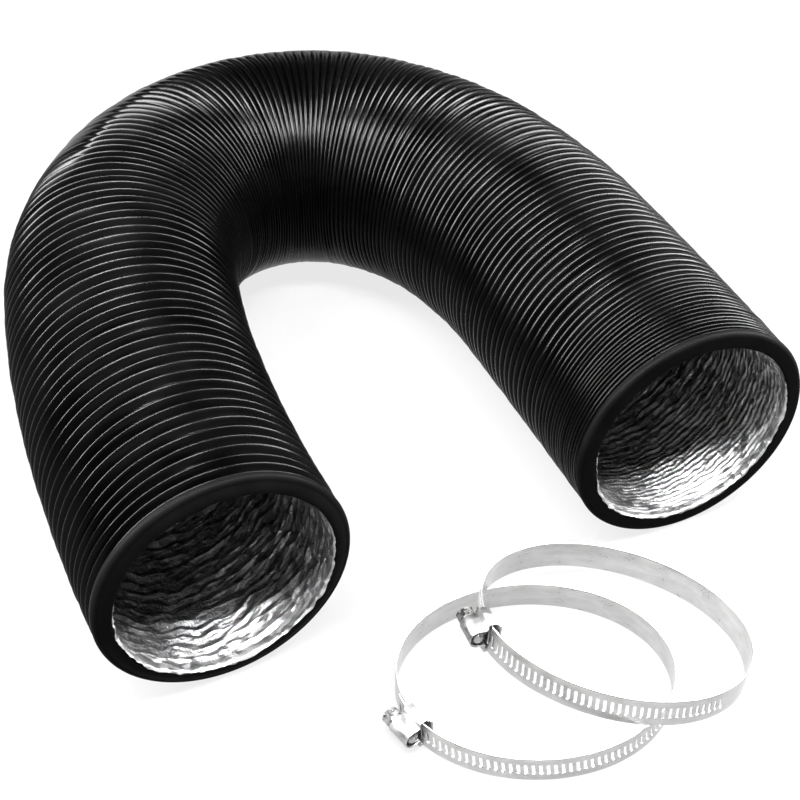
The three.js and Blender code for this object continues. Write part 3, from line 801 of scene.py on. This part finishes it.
FOLD_GAP = 0.12 * MM
plain_start = fold_length_at + FOLD_GAP / 2
slotted_end = fold_length_at + LOOP_LENGTH - FOLD_GAP / 2


def slotted_offset(length):
    """Offset of the slotted half: outside the plain half's end at the housing, and easing with the
    oval's angle to none at the fold."""
    share = (FOLD_ANGLE + 2 * np.pi - loop_angle(length)) / (FOLD_ANGLE + 2 * np.pi - HOUSING_AT)
    return SLOTTED_OFFSET * np.clip(share, 0, 1)


def band_material():
    """Rolled stainless: fine lines along the strip, soft cloudy patches, and small rubs."""
    look = Nodes(bpy.data.materials.new("stainless_band"))
    lines = look.noise(look.stretched("band", (60, 4200, 900)), detail=4)
    patch = look.noise(look.stretched("band", (110, 260, 60)), detail=3)
    rubs = look.noise(look.place, scale=700, detail=4)
    look.bump(lines, strength=0.08, depth=0.08 * MM)
    look.bump(patch, strength=0.05, depth=0.4 * MM)
    shade = look.spread(look.math("MULTIPLY", patch, lines), 0.16, 0.36)
    rough = look.spread(patch, 0.35, 0.65, 0.28, 0.34)
    rubbed = look.spread(rubs, 0.4, 0.7, -0.01, 0.02)
    look.surface({"Base Color": look.tones(shade, (0.42, 0.42, 0.42), (0.51, 0.51, 0.508)),
                  "Roughness": look.math("ADD", rough, rubbed), "Metallic": 1})
    return look.owner


stainless_band = band_material()
for clamp_name, clamp in CLAMPS.items():
    plain = strip_piece(f"{clamp_name}_plain_half", clamp, plain_start,
                        housing_length_at - 0.5 * MM, np.zeros_like, 0)
    slotted = strip_piece(f"{clamp_name}_slotted_strip", clamp, housing_length_at - TAIL_LENGTH,
                          slotted_end, slotted_offset, SLOT_COUNT)
    put(plain, stainless_band, clamp_name, f"{clamp_name}_band")
    put(slotted, stainless_band, f"{clamp_name}_slotted_half",
        f"{clamp_name}_slotted_band")


# Housings and saddles: stainless sheet pressed into an arch over the worm, with a shoulder and a
# flange on each side that grip the saddle, a curved plate with two small ears under the band.

HOUSING_LENGTH = 11.5 * MM
SHEET = 0.7 * MM
WORM_RADIUS = 3.6 * MM
WORM_ROOM = 0.4 * MM
NECK_RADIUS = 2.4 * MM
GAP = 0.3 * MM
SLOTTED_TOP = SLOTTED_OFFSET + BAND_THICKNESS / 2
SCREW_HEIGHT = SLOTTED_TOP + 0.7 * MM + WORM_RADIUS
SHOULDER = SLOTTED_TOP + 0.4 * MM
SADDLE_TOP = -BAND_THICKNESS / 2 - 0.6 * MM
SADDLE_THICKNESS = 0.8 * MM
SADDLE_TIP = -8.5 * MM
SADDLE_HEAD = 6.5 * MM
EAR_LENGTH = 2.4 * MM
EAR_HEIGHT = 1.8 * MM
END_WALL_STEPS = 40
LOOP_RADIUS_THERE = float(np.interp(HOUSING_AT, fine_angles, loop_speed)) ** 3 / (LOOP_LONG * LOOP_SHORT)


def loft(rows):
    """Faces of a tube through rows of points, with its two ends closed by one face each."""
    index = np.arange(rows.shape[0] * rows.shape[1]).reshape(rows.shape[:2])
    return grid_faces(index, closed=True).tolist() + [index[0].tolist(), index[-1][::-1].tolist()]


def arch_outline(radius, shoulder, flange, foot):
    """Section of the arch, outwards and up: from one foot up its flange, in along the shoulder, over
    the half circle of the worm, and down the other side. Each inside corner is a small curve."""
    middle = BAND_WIDTH / 2
    arc = np.linspace(-np.pi / 2, np.pi / 2, 33)
    out = SCREW_HEIGHT + radius * np.cos(arc)
    up = middle + radius * np.sin(arc)
    ease = np.array([0.0, 0.12, 0.5, 1.0])[:, None]
    corner = np.array([shoulder, middle - radius])
    near = corner + (np.array([0.6, 0]) * (1 - ease) ** 2 + np.array([0, -0.6]) * ease**2) * MM
    flange_corner = np.array([shoulder, middle - flange])
    curl = flange_corner + (np.array([0, 0.7]) * (1 - ease) ** 2 + np.array([-0.7, 0]) * ease**2) * MM
    low = np.concatenate([[[foot, middle - flange]], curl[::-1], near[::-1]])
    high = low[::-1] * (1, -1) + (0, 2 * middle)
    return np.concatenate([low, np.stack([out, up], axis=-1), high])


def housing_piece(name, clamp):
    """The arch's outline, outside and inside, carried along the screw with its ends drawn in a hair,
    so that they catch the light, and the end wall round the screw's neck."""
    inside = WORM_RADIUS + WORM_ROOM
    flange = BAND_WIDTH / 2 + GAP
    foot = SADDLE_TOP - SADDLE_THICKNESS
    outer = arch_outline(inside + SHEET, SHOULDER + SHEET, flange + SHEET, foot)
    inner = arch_outline(inside, SHOULDER, flange, foot)
    ease = 0.16 * MM
    half = HOUSING_LENGTH / 2
    rows = []
    for along, share in ((-half, 0.22), (-half + ease / 3, 0.07), (-half + ease, 0), (0, 0),
                         (half - ease, 0), (half - ease / 3, 0.07), (half, 0.22)):
        drawn_outer = outer + (inner - outer) * share
        drawn_inner = inner + (outer - inner) * share
        section = np.concatenate([drawn_outer, drawn_inner[::-1]])
        rows.append(at_housing(np.full(len(section), along), section[:, 0], section[:, 1]))
    rows = np.stack(rows)
    faces = loft(rows)
    edge = inside + SHEET / 2
    reach = math.acos((SHOULDER - SCREW_HEIGHT) / edge)
    angle = np.linspace(-reach, reach, END_WALL_STEPS)[:, None]
    hole = NECK_RADIUS + WORM_ROOM
    radius = np.array([hole, edge, edge, hole])[None, :]
    along = np.array([half - SHEET, half - SHEET, half - ease, half - ease])[None, :]
    along = np.broadcast_to(along, (END_WALL_STEPS, along.size))
    wall = at_housing(along, SCREW_HEIGHT + radius * np.cos(angle),
                      BAND_WIDTH / 2 + radius * np.sin(angle))
    start = rows[..., 0].size
    faces += [[start + corner for corner in face] for face in loft(wall)]
    points = np.concatenate([rows.reshape(-1, 3), wall.reshape(-1, 3)])
    return closed_piece(name, placed_clamp(points, clamp), faces)


def saddle_piece(name, clamp):
    """A plate that bends with the band: at each place along the screw its section is a flat oblong
    with round edges, widened near the tip by the ears, each half a smooth hump."""
    along = np.concatenate([np.linspace(SADDLE_TIP, SADDLE_TIP + EAR_LENGTH, 19),
                            np.linspace(SADDLE_TIP + EAR_LENGTH, SADDLE_HEAD, 16)[1:]])
    hump = np.clip((along - SADDLE_TIP) / EAR_LENGTH, 0, 1)
    ear = EAR_HEIGHT * np.sqrt(np.clip(1 - (2 * hump - 1) ** 2, 0, 1))
    around = np.linspace(-np.pi / 2, np.pi / 2, 7)
    rim = SADDLE_THICKNESS / 2
    width = BAND_WIDTH + 2 * ear[:, None]
    top_up = BAND_WIDTH / 2 + width / 2 - rim + rim * np.cos(around)
    low_up = BAND_WIDTH / 2 - width / 2 + rim - rim * np.cos(around)
    depth = np.broadcast_to(rim * np.sin(around), top_up.shape)
    up = np.concatenate([top_up, low_up], axis=1)
    out = np.concatenate([depth, -depth], axis=1) + SADDLE_TOP - rim
    out = out - along[:, None] ** 2 / (2 * LOOP_RADIUS_THERE)
    rows = at_housing(np.broadcast_to(along[:, None], up.shape), out, up)
    return closed_piece(name, placed_clamp(rows, clamp), loft(rows))


def sheet_material():
    """Pressed stainless sheet: satin, with faint rolling marks and darker, rougher patches."""
    look = Nodes(bpy.data.materials.new("stainless_sheet"))
    cloud = look.noise(look.place, scale=260, detail=4)
    marks_at = look.add("ShaderNodeMapping", {"Vector": look.place, "Scale": (500, 500, 3600)})
    look.bump(look.noise(marks_at.outputs[0], detail=3), strength=0.2, depth=0.1 * MM)
    look.bump(cloud, strength=0.15, depth=0.3 * MM)
    shade = look.spread(cloud, 0.35, 0.65)
    look.surface({"Base Color": look.tones(shade, (0.26, 0.26, 0.26), (0.40, 0.40, 0.398)),
                  "Roughness": look.spread(cloud, 0.3, 0.7, 0.26, 0.42), "Metallic": 1})
    return look.owner


stainless_sheet = sheet_material()
for clamp_name, clamp in CLAMPS.items():
    cover = housing_piece(f"{clamp_name}_arch", clamp)
    plate = saddle_piece(f"{clamp_name}_saddle_plate", clamp)
    put(cover, stainless_sheet, clamp_name, f"{clamp_name}_housing")
    put(plate, stainless_sheet, clamp_name, f"{clamp_name}_saddle")


# Screws: plated steel worms with a rounded tip, a washer face and a six-sided head with a slot for a
# screwdriver. The thread runs in the slots of the band.

WORM_CORE = 2.7 * MM
TIP_OVERHANG = 0.4 * MM
HEAD_FLAT = 7.94 * MM / 2
HEAD_LENGTH = 5 * MM
WASHER_RADIUS = 4.3 * MM
WASHER_THICKNESS = 0.8 * MM
HEAD_SLOT_WIDTH = 1.2 * MM
HEAD_SLOT_DEPTH = 2 * MM
HEAD_SLOT_TURN = math.radians(35)
SCREW_SIDES = 72
DOME_LENGTH = 1.2 * MM
THREAD_STEP = 0.14 * MM
THREAD_EASE = 0.5 * MM  # over which the thread rises at its ends
WASHER_BEVEL = 0.15 * MM
CAP_LENGTH = 0.9 * MM
CAP_SLOPE = 1.1
HEAD_CORNER = HEAD_FLAT * 1.155  # from the axis to a corner of the hexagon
CAP_DRAW = 1.15 * MM  # of the cap's last ring, in from that corner
SCREW_SHARP = 32  # degrees


def screw_piece(name, clamp):
    """Rings of points round the screw's axis: a domed tip, the thread, whose height is a flat-topped
    wave of the turns along it less the turn round it, the neck, the washer, and the head, whose
    radius is that of a hexagon, capped by a cone's chamfer. A block cut out of it leaves the slot."""
    tip = -HOUSING_LENGTH / 2 - TIP_OVERHANG
    thread_from = tip + DOME_LENGTH
    neck = HOUSING_LENGTH / 2 - SHEET - GAP
    thread_to = neck - 0.6 * MM
    washer = HOUSING_LENGTH / 2 + GAP
    head = washer + WASHER_THICKNESS
    top = head + HEAD_LENGTH
    angle = np.arange(SCREW_SIDES) / SCREW_SIDES * 2 * np.pi
    from_flat = np.mod(angle, np.pi / 3) - np.pi / 6
    hexagon = HEAD_FLAT / np.cos(from_flat)
    dome = np.linspace(0.12, np.pi / 2, 8)
    alongs = list(thread_from - DOME_LENGTH * np.cos(dome))
    radii = [np.full(SCREW_SIDES, WORM_CORE * math.sin(part)) for part in dome]
    for along in np.arange(thread_from, thread_to, THREAD_STEP):
        phase = along / SLOT_PITCH - angle / (2 * np.pi)
        wave = np.clip(0.5 + 0.9 * np.cos(2 * np.pi * phase), 0, 1)
        ease = min(1, (along - thread_from) / THREAD_EASE, (thread_to - along) / THREAD_EASE)
        alongs.append(along)
        radii.append(WORM_CORE + (WORM_RADIUS - WORM_CORE) * wave * max(ease, 0))
    cap = top - CAP_LENGTH
    for along, radius in ((thread_to, NECK_RADIUS), (washer, NECK_RADIUS),
                          (washer, WASHER_RADIUS - WASHER_BEVEL), (washer + WASHER_BEVEL, WASHER_RADIUS),
                          (head - WASHER_BEVEL, WASHER_RADIUS), (head, WASHER_RADIUS - WASHER_BEVEL),
                          (head, 0), (head + 0.3 * MM, 0)):
        alongs.append(along)
        radii.append(np.full(SCREW_SIDES, radius) if radius else hexagon)
    for along in np.linspace(cap, top, 8):
        alongs.append(along)
        radii.append(np.minimum(hexagon, HEAD_CORNER - (along - cap) * CAP_SLOPE))
    alongs.append(top)
    radii.append(np.minimum(hexagon, HEAD_CORNER - CAP_DRAW))
    along = np.broadcast_to(np.array(alongs)[:, None], (len(alongs), SCREW_SIDES))
    radius = np.stack(radii)
    rows = at_housing(along, SCREW_HEIGHT + radius * np.cos(angle),
                      BAND_WIDTH / 2 + radius * np.sin(angle))
    screw = closed_piece(name, placed_clamp(rows, clamp), loft(rows), SCREW_SHARP)
    along = np.array([[-1, 1, 1, -1]] * 2) * HEAD_SLOT_DEPTH + top
    side = np.array([[-1, -1, 1, 1]] * 2) * HEAD_SLOT_WIDTH / 2
    run = np.array([[-1] * 4, [1] * 4]) * 3 * HEAD_FLAT
    out, up = rotated(run, side, HEAD_SLOT_TURN)
    corners = at_housing(along, SCREW_HEIGHT + out, BAND_WIDTH / 2 + up)
    block = closed_piece(f"{name}_cutter", placed_clamp(corners, clamp), loft(corners))
    cut = screw.modifiers.new("slot", "BOOLEAN")
    cut.object = block
    cut.solver = "EXACT"
    cut_mesh = bpy.data.meshes.new_from_object(
        screw.evaluated_get(bpy.context.evaluated_depsgraph_get()))
    screw.modifiers.clear()
    screw.data = cut_mesh
    cut_mesh.set_sharp_from_angle(angle=math.radians(SCREW_SHARP))
    bpy.data.objects.remove(block)
    return screw


def screw_material():
    """Bright plating over turned steel: rings of tool marks would be too fine to see, so only a soft
    unevenness of colour and gloss, and tiny pits."""
    look = Nodes(bpy.data.materials.new("plated_screw"))
    cloud = look.noise(look.place, scale=420, detail=4)
    look.bump(look.noise(look.place, scale=2600), strength=0.12, depth=0.08 * MM)
    shade = look.spread(cloud, 0.35, 0.65)
    look.surface({"Base Color": look.tones(shade, (0.28, 0.28, 0.28), (0.44, 0.44, 0.435)),
                  "Roughness": look.spread(cloud, 0.3, 0.7, 0.2, 0.34), "Metallic": 1})
    return look.owner


plated_screw = screw_material()
for clamp_name, clamp in CLAMPS.items():
    worm = screw_piece(f"{clamp_name}_worm_screw", clamp)
    put(worm, plated_screw, f"{clamp_name}_worm", f"{clamp_name}_screw")


# Floor and light: a plain pale floor, a tall strip light on each side, soft boxes overhead and in front,
# and a dim room that is darker overhead.

floor_mesh = bpy.data.meshes.new("floor")
FLOOR_REACH = 12.0
corners = [(x * FLOOR_REACH, y * FLOOR_REACH, 0) for x, y in ((-1, -1), (1, -1), (1, 1), (-1, 1))]
floor_mesh.from_pydata(corners, [], [(0, 1, 2, 3)])
floor = placed("floor", floor_mesh)
floor_look = Nodes(bpy.data.materials.new("pale_floor"))
floor_cloud = floor_look.noise(floor_look.place, scale=3)
floor_look.surface({"Base Color": (0.017, 0.017, 0.017, 1), "Specular IOR Level": 0.05,
                    "Roughness": floor_look.spread(floor_cloud, 0.3, 0.7, 0.55, 0.6),
                    "Emission Color": (1, 1, 1, 1), "Emission Strength": 0.80})
floor_mesh.materials.append(floor_look.owner)


def soft_light(name, place, width, height, power):
    """An oblong light at a place, turned to face the middle of the duct."""
    light = bpy.data.lights.new(name, "AREA")
    light.shape = "RECTANGLE"
    light.size = width
    light.size_y = height
    light.energy = power
    lamp = placed(name, light)
    lamp.location = place
    lamp.rotation_euler = (Vector((0, 0, 0.05)) - Vector(place)).to_track_quat("-Z", "Y").to_euler()


soft_light("left_strip", (-0.80, 0.00, 0.72), 0.22, 1.1, 175)
soft_light("right_strip", (0.82, 0.27, 0.66), 0.26, 1.1, 150)
soft_light("overhead_softbox", (0.00, -0.32, 1.12), 0.7, 0.16, 140)
soft_light("front_softbox", (0.12, -1.05, 0.62), 1.2, 0.3, 2.5)

bpy.context.scene.world = bpy.data.worlds.new("room")
room = Nodes(bpy.context.scene.world)
height = room.add("ShaderNodeSeparateXYZ", {0: room.where["Generated"]}).outputs["Z"]
room.fill(room.tree.nodes["Background"], {"Color": (1, 1, 1, 1),
                                          "Strength": room.spread(height, 0.05, 0.5, 0.10, 0.04)})
bpy.context.scene.view_settings.view_transform = "Standard"
